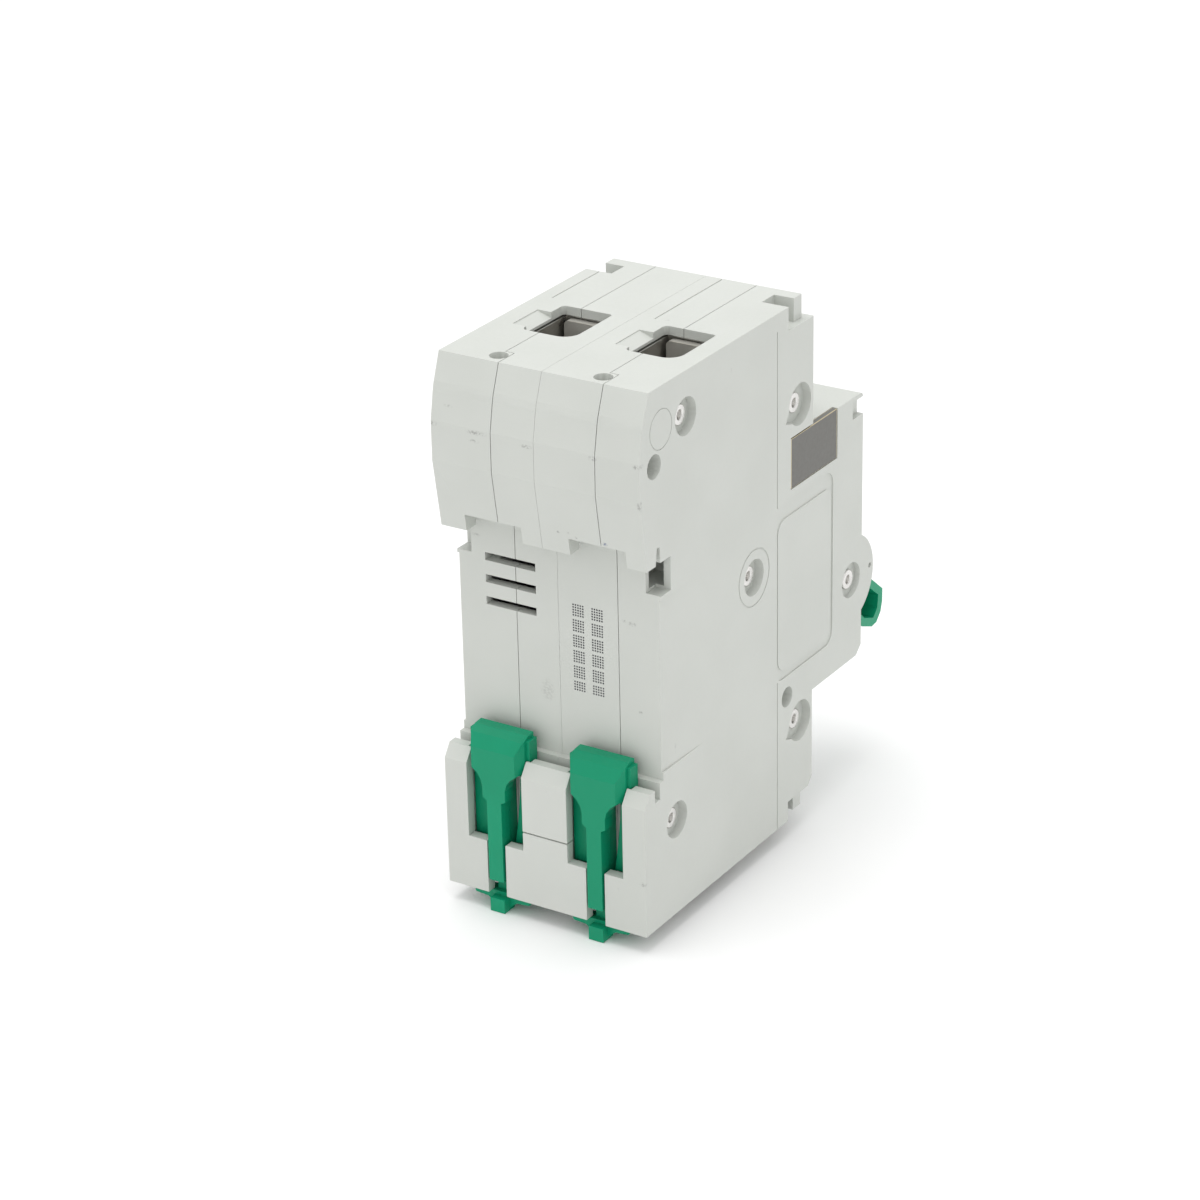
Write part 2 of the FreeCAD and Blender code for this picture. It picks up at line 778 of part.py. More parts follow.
def toggle():
    """Rocker with a hub on the hub rivet and a hollow-sided handle, shown switched off."""
    reach_out = [
        (3.0, -5.2), (3.0, 3.4), (11.0, 2.9), (16.2, 2.7), (17.5, 0.9), (18.1, -0.8),
        (17.8, -2.7), (16.6, -3.8), (13.2, -4.7), (9.0, -4.1), (6.0, -3.6),
    ]
    hollow = [
        (9.4, 1.5), (15.4, 1.4), (16.5, -0.6), (16.2, -2.4), (13.0, -3.3), (9.4, -2.8),
    ]
    near = d.toggle_near - d.module
    far = -d.toggle_far
    axis_angle = math.radians(-37)

    def world(points):
        turned_points = []
        for along, across in points:
            y = -along * math.cos(axis_angle) + across * math.sin(axis_angle)
            z = along * math.sin(axis_angle) + across * math.cos(axis_angle)
            turned_points.append((d.pivot_y + y, d.pivot_z + z))
        return turned_points

    hub = (d.pivot_y, d.pivot_z)
    ridge = [(12.2, 1.6), (13.0, 1.6), (13.0, -3.4), (12.2, -3.4)]
    handle = prism("handle", "X", world(reach_out), (near, far))
    side = cut("handle_recess", prism("recess", "X", world(hollow), (near - 1, near + 3.2)), [
        prism("recess_ridge", "X", world(ridge), (near + 1.6, near + 4)),
    ])
    far_side = prism("recess", "X", world(hollow), (far - 3.2, far + 1))
    eccentric = math.radians(40)
    link_y = d.pivot_y + 4.4 * math.cos(eccentric)
    link_z = d.pivot_z + 4.4 * math.sin(eccentric)
    node("toggle", cut("toggle_cut", fuse("toggle_body", [
        rod("hub", "X", hub, d.hub_radius, (near, far)),
        handle,
    ]), [
        side,
        far_side,
        rod("hub_bore", "X", hub, d.rivet_radius + 0.06, (near - 1, far + 1)),
        cut("spring_groove", rod("groove", "X", hub, 3.3, (far - 2.2, far + 1)), [
            rod("groove_core", "X", hub, 1.9, (far - 3, far + 2)),
        ]),
        rod("link_hole", "X", (link_y, link_z), 0.56, (PHASE_X - 3.1, PHASE_X + 3.1)),
        box("link_slot", span(PHASE_X, 1.2), (d.pivot_y + 2.2, -50), span(d.pivot_z, 8)),
        box("link_swing", span(PHASE_X, 1.2), (d.pivot_y + 0.7, -50),
            (d.pivot_z + 1.7, d.pivot_z + 8)),
    ]))
    node("toggle_spring", coil("spring_wire", "X", hub, 2.6, 0.3, 0.7, (far - 1.85, far - 0.35)))
    return link_y, link_z


def strap(name, x, a, b, radius_a, radius_b):
    """A bar with round ends between two points of the YZ plane."""
    (ay, az), (by, bz) = ((dim(p), dim(q)) for p, q in (a, b))
    run = Vector(by.number - ay.number, bz.number - az.number, 0).normalize()
    corners = [
        (ay - run.y * radius_a, az + run.x * radius_a),
        (by - run.y * radius_b, bz + run.x * radius_b),
        (by + run.y * radius_b, bz - run.x * radius_b),
        (ay + run.y * radius_a, az - run.x * radius_a),
    ]
    return fuse(name, [
        rod(name + "_end", "X", a, radius_a, x),
        rod(name + "_end", "X", b, radius_b, x),
        prism(name + "_run", "X", corners, x),
    ])


def link(start_y, start_z):
    """Steel link from the toggle's eccentric to the slot in the contact carrier."""
    end = (start_y + 9.94, start_z + 5.78)
    start = (start_y, start_z)
    node("toggle_link", fuse("link_body", [
        rod("link_pin", "X", start, 0.5, span(PHASE_X, 3.0)),
        strap("link_bar", span(PHASE_X, 0.6), start, end, 0.9, 0.9),
        rod("link_pin", "X", end, 0.5, span(PHASE_X, 2.6)),
    ]))


def contacts():
    """Carrier, contact arms, pads and the shaft that turns them, drawn closed and swung open."""
    pivot = (d.arm_pivot_y, d.arm_pivot_z)
    slot = (-43.71, -6.06)
    radial = Vector(-0.954, -0.301, 0)
    slot_ends = [
        (slot[0] + radial.x * reach, slot[1] + radial.y * reach) for reach in (-0.85, 0.85)
    ]
    bore = rod("arm_bore", "X", pivot, d.shaft_radius + 0.02, (-d.module, d.module))
    cheeks = []
    for side in (-1, 1):
        x = (PHASE_X + 1.1 * side, PHASE_X + 2.6 * side)
        cheeks.append(strap("cheek", x, pivot, slot, 2.4, 2.1))
    heel = strap("heel", span(PHASE_X, 1.2), (-38.6, -5.6), (-37.4, -6.6), 0.8, 0.8)
    slot_tool = strap("slot_way", span(PHASE_X, 3.5), *slot_ends, 0.8, 0.8)
    carrier = cut("carrier_cut", fuse("carrier_body", cheeks + [heel]), [bore, slot_tool])
    finished = [("contact_carrier", carrier)]
    pads = []
    for name, x in (("phase_contact_arm", PHASE_X), ("neutral_contact_arm", SENSOR_X)):
        arm = fuse(name + "_body", [
            strap("blade", span(x, 0.8), pivot, (-22.9, -6.5), 2.2, 1.2),
            box("blade_tip", span(x, 2.0), (-22.3, -21.1), (-9.0, -4.0)),
        ])
        finished.append((name, cut(name + "_cut", arm, [bore])))
        pads.append(box("moving_pad", span(x, 1.8), (-21.1, -20.3), (-8.4, -4.6)))
    finished.append(("moving_pads", group("moving_pad_group", pads)))
    for name, shape in finished:
        node(name, turned(shape, -d.arm_swing.number, *pivot))
    ends = (1.1 - d.module, d.module - 1.1)
    node("contact_shaft", rod("shaft", "X", pivot, d.shaft_radius, ends))


def riser(x, end):
    """The upright end of a terminal bar, with round corners and two clamping ridges."""
    up = ENDS[end]
    top = from_middle(d.bar_top, end)
    foot = dim(28.3) if up > 0 else d.bar_end
    y = (d.bar_front, d.bar_front + d.bar_thick)
    plate = box("riser_plate", span(x, d.bar_half), y, (foot, top))
    plate = rounded("riser_round", plate, [
        ("Y", (x - d.bar_half, top), 0.8), ("Y", (x + d.bar_half, top), 0.8),
    ])
    ridges = []
    for drop in (3.4, 5.1):
        z = from_middle(d.bar_top - drop, end)
        ridges.append(box("bar_ridge", (x - 2.9, x + 1.8), (y[1] - 0.1, y[1] + 0.22), span(z, 0.17)))
    return fuse("riser", [plate] + ridges)


def conductors():
    """Bars from the terminals to the contacts, and the fixed pads."""
    bar_back = d.bar_front + d.bar_thick
    bus_y = (d.contact_face, d.contact_face + d.bus_thick)
    phase = PHASE_X + d.terminal_shift
    sensor = SENSOR_X + d.terminal_shift
    foot_top = (28.3, 29.3)
    foot_bottom = (-29.3, d.bar_end)
    node("phase_top_bar", fuse("phase_top", [
        riser(phase, "top"),
        box("foot", (-13.6, -3.7), (-23.0, bar_back), foot_top),
    ]))
    node("phase_contact_bar", fuse("phase_fixed", [
        box("post", span(PHASE_X, 3.0), bus_y, (-8.6, 12.0)),
        box("shelf", (-7.0, -3.4), (-33.0, d.contact_face + d.bus_thick), (10.8, 12.0)),
    ]))
    node("phase_bottom_bar", fuse("phase_bottom", [
        riser(phase, "bottom"),
        box("foot", (-13.6, -6.0), (-36.9, bar_back), foot_bottom),
    ]))
    node("neutral_top_bar", fuse("neutral_top", [
        riser(sensor, "top"),
        box("shelf", (4.2, 11.7), (d.bar_front, d.contact_face + d.bus_thick), foot_top),
        box("post", span(SENSOR_X, 3.0), bus_y, (-8.6, 29.3)),
    ]))
    node("neutral_bottom_bar", fuse("neutral_bottom", [
        riser(sensor, "bottom"),
        box("foot", (5.6, 11.8), (d.bar_front, -10.5), foot_bottom),
    ]))
    pad_y = (d.contact_face - 0.8, d.contact_face)
    pads = [box("fixed_pad", span(x, 2.0), pad_y, (-8.5, -4.5)) for x in MODULES.values()]
    node("fixed_pads", group("fixed_pad_group", pads))


def arc_chute():
    """Splitter plates between two fibre walls, with the runner below."""
    notch = [(PHASE_X, -12.0), (PHASE_X + 2.6, -19.0), (PHASE_X - 2.6, -19.0)]
    plates = []
    for i in range(7):
        z = (-22.8 + 2.0 * i, -22.0 + 2.0 * i)
        plate = box("plate", (-14.6, -3.2), (-18.6, -3.4), z)
        plates.append(cut("splitter", plate, [prism("notch", "Z", notch, (z[0] - 1, z[1] + 1))]))
    node("arc_splitter_plates", group("splitter_group", plates))
    walls = [
        box("wall", x, (-18.8, -3.2), (-23.3, -9.8)) for x in ((-15.6, -14.65), (-3.15, -2.2))
    ]
    node("arc_chute_walls", group("chute_walls", walls))
    node("arc_runner", box("runner", span(PHASE_X, 3.0), (-34.0, -8.0), (-25.6, -24.8)))


def magnetic_trip():
    """Short-circuit coil on its former and yoke, with the sprung plunger."""
    axis = (PHASE_X, d.plunger_z)
    lead_x = PHASE_X + 4.3
    node("trip_coil", fuse("coil_body", [
        coil("winding", "Y", axis, 4.3, 0.88, 2.0, (-32.0, -22.0)),
        rod("lead", "Z", (lead_x, -22.0), 0.88, (d.plunger_z, 28.3)),
        rod("lead", "Z", (lead_x, -32.0), 0.88, (12.0, d.plunger_z)),
    ]))
    node("coil_former", cut("former", rod("former_body", "Y", axis, 3.2, (-33.1, -20.9)), [
        rod("former_bore", "Y", axis, d.plunger_radius + 0.08, (-34, -20)),
    ]))
    wide = span(PHASE_X, 3.3)
    top = d.plunger_z + 7
    node("coil_yoke", cut("yoke", fuse("yoke_body", [
        box("yoke_top", wide, (-34.4, -19.7), (top - 1, top)),
        box("yoke_front", wide, (-34.4, -33.2), (14.8, top)),
        box("yoke_back", wide, (-20.8, -19.7), (14.8, top)),
    ]), [rod("yoke_hole", "Y", axis, d.plunger_radius + 0.3, (-35, -33))]))
    node("trip_plunger", fuse("plunger_body", [
        rod("plunger_core", "Y", axis, d.plunger_radius, (-35.0, -24.2)),
        rod("plunger_nose", "Y", axis, 0.9, (-36.5, -34.9)),
    ]))
    node("plunger_spring", coil("plunger_wire", "Y", axis, 1.5, 0.22, 0.75, (-23.9, -21.1)))


def thermal_trip():
    """Bimetal strip, its braid, and the trip lever with its pin."""
    strip_z = (d.bar_end + 0.1, -11.0)
    node("bimetal_strip", box("bimetal", span(PHASE_X, 2.8), (-36.9, -36.1), strip_z))
    node("flexible_braid", tube("braid", [
        (-11.3, -36.0, -15.0), (-12.6, -34.3, -14.4), (-13.2, -32.4, -11.0),
        (-13.0, -33.0, -7.4), (-12.5, -34.6, -4.9),
    ], 0.7))
    y = (d.trip_y - 0.6, d.trip_y + 0.6)
    reach = (-14.6, -6.6)
    node("trip_lever", cut("lever", fuse("lever_body", [
        rod("lever_hub", "X", (d.trip_y, d.trip_z), 1.8, (-14.6, -12.6)),
        box("lever_post", (-14.6, -12.6), y, (d.trip_z, 22.5)),
        box("lever_plunger_foot", reach, y, (19.2, 22.5)),
        box("lever_bimetal_foot", reach, y, (-13.0, -11.0)),
        box("lever_cross_arm", (-14.6, 5.5), y, (d.trip_low, d.trip_high)),
    ]), [rod("lever_bore", "X", (d.trip_y, d.trip_z), 0.84, (-16, -11))]))
    node("trip_pin", rod("trip_axle", "X", (d.trip_y, d.trip_z), 0.8, (1.0 - d.module, -1.05)))


def residual_trip():
    """Summation transformer, its conductors and the trip relay."""
    axis = (SENSOR_X, -12.0)
    core = cut("core", rod("core_body", "Z", axis, 6.2, (-22.4, -17.4)), [
        rod("core_hole", "Z", axis, 4.2, (-24, -16)),
    ])
    node("toroid_core", core)
    room = cut("core_room", rod("core_room_body", "Z", axis, 6.3, (-22.5, -17.3)), [
        rod("core_room_hole", "Z", axis, 4.1, (-24, -16)),
    ])
    ring = cut("ring_body", rod("ring_round", "Z", axis, 7.0, (-23.4, -16.4)), [
        rod("ring_hole", "Z", axis, 3.3, (-24, -16)),
    ])
    node("toroid_winding", cut("winding_ring", ring, [room]))
    node("primary_wires", group("primary_group", [
        tube("neutral_wire", [
            (10.35, -12.0, -28.2), (10.35, -12.0, -13.5), (13.9, -16.5, -9.8),
            (14.0, -26.0, -8.5), (13.0, -33.0, -5.6),
        ], 1.1),
        tube("phase_wire", [
            (7.45, -12.0, -28.2), (7.45, -12.0, -14.5), (4.2, -17.5, -10.8),
            (3.6, -24.5, -11.0), (-3.0, -24.5, -11.0),
        ], 1.1),
    ]))
    middle = (d.trip_low + d.trip_high) * 0.5
    node("trip_relay", cut("relay", box("relay_body", (2.4, 14.0), (-35.8, -22.0), (8.6, 20.6)), [
        rod("relay_bore", "Y", (4.0, middle), 1.0, (-37, -31)),
    ]))
    node("relay_pusher", rod("pusher", "Y", (4.0, middle), 0.92, (-37.4, -32.4)))


def test_circuit():
    """Test button with its spring, blade and the circuit board."""
    x = SENSOR_X
    z = d.button_z
    head = box("button_head", span(x, d.button_half), (-62.4, -59.0), span(z, d.button_half))
    head = rounded("button_round", head, [
        ("Y", (x + d.button_half * i, z + d.button_half * j), 1.0)
        for i in (-1, 1)
        for j in (-1, 1)
    ])
    node("test_button", fuse("button_body", [
        head,
        box("button_flange", span(x, 4.2), (-59.5, -58.4), span(z, 4.2)),
        rod("button_stem", "Y", (x, z), 1.42, (-58.4, -50.2)),
    ]))
    spring_y = (d.button_spring_front, d.button_spring_back)
    three_turns = (d.button_spring_back - d.button_spring_front) * (1 / 3)
    node("test_button_spring", coil("button_wire", "Y", (x, z), 2.3, 0.3, three_turns, spring_y))
    node("test_blade", box("blade_strip", (6.4, 14.6), (-48.5, -48.1), span(z, 1.2)))
    node("circuit_board", box("board", (14.6, 15.8), (-54.6, -44.0), (-20.0, 18.0)))
    node("test_resistor", rod("resistor", "Z", (12.9, -51.5), 1.5, (-8.0, 2.0)))
    node("capacitor", rod("capacitor_can", "X", (-48.0, -14.5), 3.0, (9.4, 14.6)))
    node("thyristor", box("thyristor_case", (12.9, 14.6), (-48.0, -44.8), (-8.4, -3.8)))


def terminals():
    """Rising cages with serrated jaws and their slotted screws."""
    for module, module_x in MODULES.items():
        x = module_x + d.terminal_shift
        for end in ENDS:
            low = from_middle(d.cage_low, end)
            high = from_middle(d.cage_high, end)
            screw_z = from_middle(d.terminal_z, end)
            jaw_back = d.cage_back - d.cage_wall
            ring = box("cage_ring", span(x, d.cage_half), (d.cage_front, d.cage_back), (low, high))
            inside = box("cage_inside", span(x, d.cage_half - d.cage_wall),
                         (d.cage_front + d.cage_plate, jaw_back), span(screw_z, 7))
            teeth = []
            for i in (-1, 0, 1):
                z = screw_z + 3.0 * i
                tooth = [(jaw_back + 0.1, z - 0.5), (jaw_back - 0.4, z), (jaw_back + 0.1, z + 0.5)]
                teeth.append(prism("jaw_tooth", "X", tooth, span(x, d.cage_half - d.cage_wall)))
            hole = rod("cage_thread", "Y", (x, screw_z), d.screw_thread_hole,
                       (d.cage_front - 1, d.cage_front + 3))
            cage = cut("cage_body", ring, [inside, hole])
            place_name = f"{module}_{end}"
            node(f"terminal_cage_{place_name}", fuse("cage", [cage] + teeth))
            node(f"terminal_screw_{place_name}", screw(x, screw_z))


def screw(x, z):
    """Terminal screw: a turned blank with a slot and a cross recess."""
    blank = doc.addObject("PartDesign::Body", "screw_blank")
    plane = next(f for f in blank.Origin.OriginFeatures if f.Role == "XY_Plane")
    profile = blank.newObject("Sketcher::SketchObject", "screw_profile")
    profile.AttachmentSupport = [(plane, "")]
    profile.MapMode = "FlatFace"
    tip = d.bar_front - 0.1
    rise = 0.4
    points = [
        (0, d.head_front),
        (d.screw_head - rise, d.head_front),
        (d.screw_head, d.head_front + rise),
        (d.screw_head, d.head_back),
        (d.screw_shank, d.head_back),
        (d.screw_shank, tip - rise),
        (d.screw_shank - rise, tip),
        (0, tip),
    ]
    corners = [Vector(dim(a).number, dim(b).number, 0) for a, b in points]
    count = len(corners)
    for i, corner in enumerate(corners):
        profile.addGeometry(Part.LineSegment(corner, corners[(i + 1) % count]))
    for i, (a, b) in enumerate(points):
        profile.addConstraint(Sketcher.Constraint("Coincident", i, 2, (i + 1) % count, 1))
        for kind, value in (("DistanceX", dim(a)), ("DistanceY", dim(b))):
            rule = Sketcher.Constraint(kind, -1, 1, i, 1, value.number)
            index = profile.addConstraint(rule)
            profile.setExpression(f"Constraints[{index}]", value.text)
    turning = blank.newObject("PartDesign::Revolution", "screw_turning")
    turning.Profile = profile
    turning.ReferenceAxis = (profile, ["V_Axis"])
    turning.Angle = 360.0
    blank.Tip = turning
    place(blank, (x, 0, z))
    slot_y = (d.head_front - 1, d.head_front + 1.6)
    return cut("screw", blank, [
        box("driver_slot", span(x, 0.5), slot_y, span(z, 3.2)),
        box("driver_cross", span(x, 1.7), slot_y, span(z, 0.5)),
    ])


def rating_plate():
    y = (-d.nose - 0.2, -d.nose)
    node("rating_plate", box("label", (-15.4, -2.4), y, (3.4, 18.4)))


def build():
    shells()
    bridge()
    rivets()
    side_plate()
    rating_plate()
    rail_clip("rail_clip_phase", PHASE_X)
    rail_clip("rail_clip_sensor", SENSOR_X)
    link(*toggle())
    contacts()
    conductors()
    arc_chute()
    magnetic_trip()
    thermal_trip()
    residual_trip()
    test_circuit()
    terminals()


def check_and_write():
    """Stops on any failed object; writes one file for each node."""
    doc.recompute()
    failed = [obj.Label for obj in doc.Objects if {"Invalid", "Error"} & set(obj.State)]
    for obj in NODES:
        shape = obj.Shape
        if shape.isNull() or not shape.isValid() or not shape.Solids:
            failed.append(obj.Label)
    if failed:
        raise RuntimeError(f"failed objects: {failed}")
    os.makedirs("parts", exist_ok=True)
    for obj in NODES:
        obj.Shape.exportStep(os.path.join("parts", obj.Label + ".step"))
        print(f"{obj.Label}: {len(obj.Shape.Solids)} solids, {obj.Shape.Volume:.0f} mm3")


build()
check_and_write()
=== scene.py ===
import json
import math

import bmesh
import bpy
from mathutils import Matrix, Vector


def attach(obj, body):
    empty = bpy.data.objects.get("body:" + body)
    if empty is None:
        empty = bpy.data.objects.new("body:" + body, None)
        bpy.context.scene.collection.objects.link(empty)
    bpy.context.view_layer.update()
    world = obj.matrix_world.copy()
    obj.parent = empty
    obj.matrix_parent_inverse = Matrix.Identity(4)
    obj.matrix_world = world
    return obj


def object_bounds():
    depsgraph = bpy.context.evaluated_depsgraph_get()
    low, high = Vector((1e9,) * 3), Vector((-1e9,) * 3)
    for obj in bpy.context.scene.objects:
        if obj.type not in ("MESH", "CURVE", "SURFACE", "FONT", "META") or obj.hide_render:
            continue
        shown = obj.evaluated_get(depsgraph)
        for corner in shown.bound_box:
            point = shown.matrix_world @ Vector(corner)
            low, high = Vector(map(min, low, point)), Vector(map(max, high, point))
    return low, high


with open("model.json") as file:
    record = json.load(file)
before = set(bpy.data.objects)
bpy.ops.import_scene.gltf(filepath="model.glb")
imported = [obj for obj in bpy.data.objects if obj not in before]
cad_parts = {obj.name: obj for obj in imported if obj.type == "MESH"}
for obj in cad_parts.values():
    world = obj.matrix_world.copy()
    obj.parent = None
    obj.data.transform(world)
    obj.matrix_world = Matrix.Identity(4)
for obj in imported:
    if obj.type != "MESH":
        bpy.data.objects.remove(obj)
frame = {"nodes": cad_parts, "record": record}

# A two-module residual-current circuit breaker for a top-hat rail, seen from its rail side.
# Metres, in the frame of the CAD model: +Z up, -Y towards the user. Values marked as millimetres
# are turned into metres where they are used.

MM = 0.001
CAD_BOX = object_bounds()
NODES = frame["nodes"]
RECORD_SLOTS = {p["node"]: p["material_slot"] for p in frame["record"]["subparts"]}

# ---- camera -------------------------------------------------------------------------------

AZIMUTH = math.radians(212.779)
ELEVATION = math.radians(24.912)
ROLL = math.radians(-1.359)
DISTANCE = 564.193 * MM
LENS = 111.01
SHIFT = (0.0113, 0.0212)
AIM_CENTRE = Vector((0.0, -20.0, -0.5)) * MM
AIM_RIGHT = -6.749 * MM
AIM_UP = -4.667 * MM
SENSOR_WIDTH = 36.0
CLIP_RANGE = (0.01, 20.0)


def make_camera():
    back = Vector((
        math.sin(AZIMUTH) * math.cos(ELEVATION),
        -math.cos(AZIMUTH) * math.cos(ELEVATION),
        math.sin(ELEVATION),
    ))
    level_right = (-back).cross(Vector((0, 0, 1))).normalized()
    level_up = level_right.cross(-back)
    right = level_right * math.cos(ROLL) + level_up * math.sin(ROLL)
    up = -level_right * math.sin(ROLL) + level_up * math.cos(ROLL)
    place = AIM_CENTRE + level_right * AIM_RIGHT + level_up * AIM_UP + back * DISTANCE
    data = bpy.data.cameras.new("camera")
    data.sensor_width = SENSOR_WIDTH
    data.lens = LENS
    data.shift_x, data.shift_y = SHIFT
    data.clip_start, data.clip_end = CLIP_RANGE
    camera = bpy.data.objects.new("camera", data)
    camera.matrix_world = Matrix((
        (right.x, up.x, back.x, place.x),
        (right.y, up.y, back.y, place.y),
        (right.z, up.z, back.z, place.z),
        (0, 0, 0, 1),
    ))
    bpy.context.scene.collection.objects.link(camera)
    bpy.context.scene.camera = camera


# ---- floor and light ----------------------------------------------------------------------

FLOOR_GAP = 0.05 * MM
FLOOR_HALF = 6.0
FLOOR_COLOUR = (0.93, 0.93, 0.93)
FLOOR_MOTTLE = 0.985
FLOOR_ROUGHNESS = 0.75
WORLD_STRENGTH = 0.97
LAMP_PLACE = Vector((0.05, 0.05, 0.80))
LAMP_TARGET = Vector((0, -20 * MM, 0))
LAMP_DIAMETER = 0.60
LAMP_WATTS = 2.7


def make_lamp():
    data = bpy.data.lights.new("overhead", "AREA")
    data.shape = "DISK"
    data.size = LAMP_DIAMETER
    data.energy = LAMP_WATTS
    lamp = bpy.data.objects.new("overhead", data)
    lamp.location = LAMP_PLACE
    aim = LAMP_TARGET - LAMP_PLACE
    lamp.rotation_euler = aim.to_track_quat("-Z", "Y").to_euler()
    bpy.context.scene.collection.objects.link(lamp)


def make_world():
    world = bpy.data.worlds.new("studio")
    world.use_nodes = True
    background = world.node_tree.nodes["Background"].inputs
    background["Color"].default_value = (1, 1, 1, 1)
    background["Strength"].default_value = WORLD_STRENGTH
    bpy.context.scene.world = world


def make_stage():
    low = CAD_BOX[0].z - FLOOR_GAP
    half = FLOOR_HALF
    mesh = bpy.data.meshes.new("floor")
    mesh.from_pydata(
        [(-half, -half, low), (half, -half, low), (half, half, low), (-half, half, low)],
        [], [(0, 1, 2, 3)],
    )
    floor = bpy.data.objects.new("floor", mesh)
    bpy.context.scene.collection.objects.link(floor)
    floor.data.materials.append(MATERIALS["floor_paper"])
    make_world()
    bpy.context.scene.view_settings.view_transform = "Standard"
    make_lamp()


# ---- materials ----------------------------------------------------------------------------

# Every material by name. A CAD node's material has the name of its slot in the record.
MATERIALS = {}

# A Mix node has one pair of sockets for each data type. These are its colour sockets.
MIX_COLOURS = (6, 7)
MIX_RESULT = 2

# The part of a spot's reach that is at full strength.
SPOT_CORE = 0.35

# Noise scales, from broad drift to the finest grain: the larger, the finer.
PAPER_SCALE = 40.0
DRIFT_SCALE = 55.0
PATCH_SCALE = 95.0
WAVINESS_SCALE = 140.0
TARNISH_SCALE = 260.0
TRACK_SCALE = 420.0
METAL_GRAIN_SCALE = 700.0
FLECK_SCALE = 900.0
WIRE_SHEEN_SCALE = 900.0
MASK_SHEEN_SCALE = 1100.0
PLASTIC_SHEEN_SCALE = 1400.0
RUB_SCALE = 2600.0
PLASTIC_GRAIN_SCALE = 9000.0

# The span that most of a noise's values fall in.
NOISE_SPAN = (0.3, 0.7)


class Nodes:
    """A new material, with short names for building its node tree."""

    def __init__(self, name):
        self.material = bpy.data.materials.new(name)
        MATERIALS[name] = self.material
        self.material.use_nodes = True
        self.tree = self.material.node_tree
        self.shader = self.tree.nodes["Principled BSDF"]
        self.where = self.tree.nodes.new("ShaderNodeTexCoord").outputs["Object"]

    def add(self, kind, **inputs):
        made = self.tree.nodes.new(kind)
        for key, value in inputs.items():
            self.feed(made.inputs[key], value)
        return made

    def feed(self, socket, value):
        if isinstance(value, bpy.types.NodeSocket):
            self.tree.links.new(value, socket)
        else:
            socket.default_value = value

    def noise(self, scale, detail=4.0, roughness=0.55):
        made = self.add("ShaderNodeTexNoise", Scale=scale, Detail=detail, Roughness=roughness)
        self.feed(made.inputs["Vector"], self.where)
        return made.outputs["Fac"]

    def stretched_noise(self, stretch, scale, detail, roughness):
        """Noise drawn out along an axis whose stretch is under 1."""
        mapping = self.add("ShaderNodeMapping")
        self.feed(mapping.inputs["Vector"], self.where)
        mapping.inputs["Scale"].default_value = stretch
        made = self.add("ShaderNodeTexNoise", Scale=scale, Detail=detail, Roughness=roughness)
        self.feed(made.inputs["Vector"], mapping.outputs["Vector"])
        return made.outputs["Fac"]

    def ramp(self, value, low, high, low_value=0.0, high_value=1.0):
        made = self.tree.nodes.new("ShaderNodeMapRange")
        made.clamp = True
        for index, number in enumerate((low, high, low_value, high_value), 1):
            made.inputs[index].default_value = number
        self.feed(made.inputs[0], value)
        return made.outputs[0]

    def math(self, kind, a, b):
        made = self.tree.nodes.new("ShaderNodeMath")
        made.operation = kind
        self.feed(made.inputs[0], a)
        self.feed(made.inputs[1], b)
        return made.outputs[0]

    def mix(self, factor, a, b):
        made = self.tree.nodes.new("ShaderNodeMix")
        made.data_type = "RGBA"
        self.feed(made.inputs["Factor"], factor)
        for index, colour in zip(MIX_COLOURS, (a, b)):
            if isinstance(colour, tuple):
                colour = (*colour, 1.0)
            self.feed(made.inputs[index], colour)
        return made.outputs[MIX_RESULT]

    def spot(self, centre, reach):
        """1 around a place on the object and 0 beyond a reach along each axis, both in millimetres."""
        away = self.tree.nodes.new("ShaderNodeVectorMath")
        away.operation = "SUBTRACT"
        self.feed(away.inputs[0], self.where)
        away.inputs[1].default_value = Vector(centre) * MM
        scaled = self.tree.nodes.new("ShaderNodeVectorMath")
        scaled.operation = "MULTIPLY"
        self.feed(scaled.inputs[0], away.outputs["Vector"])
        scaled.inputs[1].default_value = [1 / (size * MM) for size in reach]
        length = self.tree.nodes.new("ShaderNodeVectorMath")
        length.operation = "LENGTH"
        self.feed(length.inputs[0], scaled.outputs["Vector"])
        return self.ramp(length.outputs["Value"], SPOT_CORE, 1.0, 1.0, 0.0)

    def set(self, **inputs):
        for key, value in inputs.items():
            self.feed(self.shader.inputs[key.replace("_", " ")], value)

    def bump(self, height, distance, strength=1.0, after=None):
        made = self.add("ShaderNodeBump", Strength=strength, Distance=distance, Height=height)
        if after is not None:
            self.feed(made.inputs["Normal"], after)
        return made.outputs["Normal"]


def floor_paper():
    """A faintly mottled matt surface."""
    n = Nodes("floor_paper")
    mottled = tuple(c * FLOOR_MOTTLE for c in FLOOR_COLOUR)
    n.set(Base_Color=n.mix(n.noise(PAPER_SCALE), FLOOR_COLOUR, mottled))
    n.set(Roughness=FLOOR_ROUGHNESS)


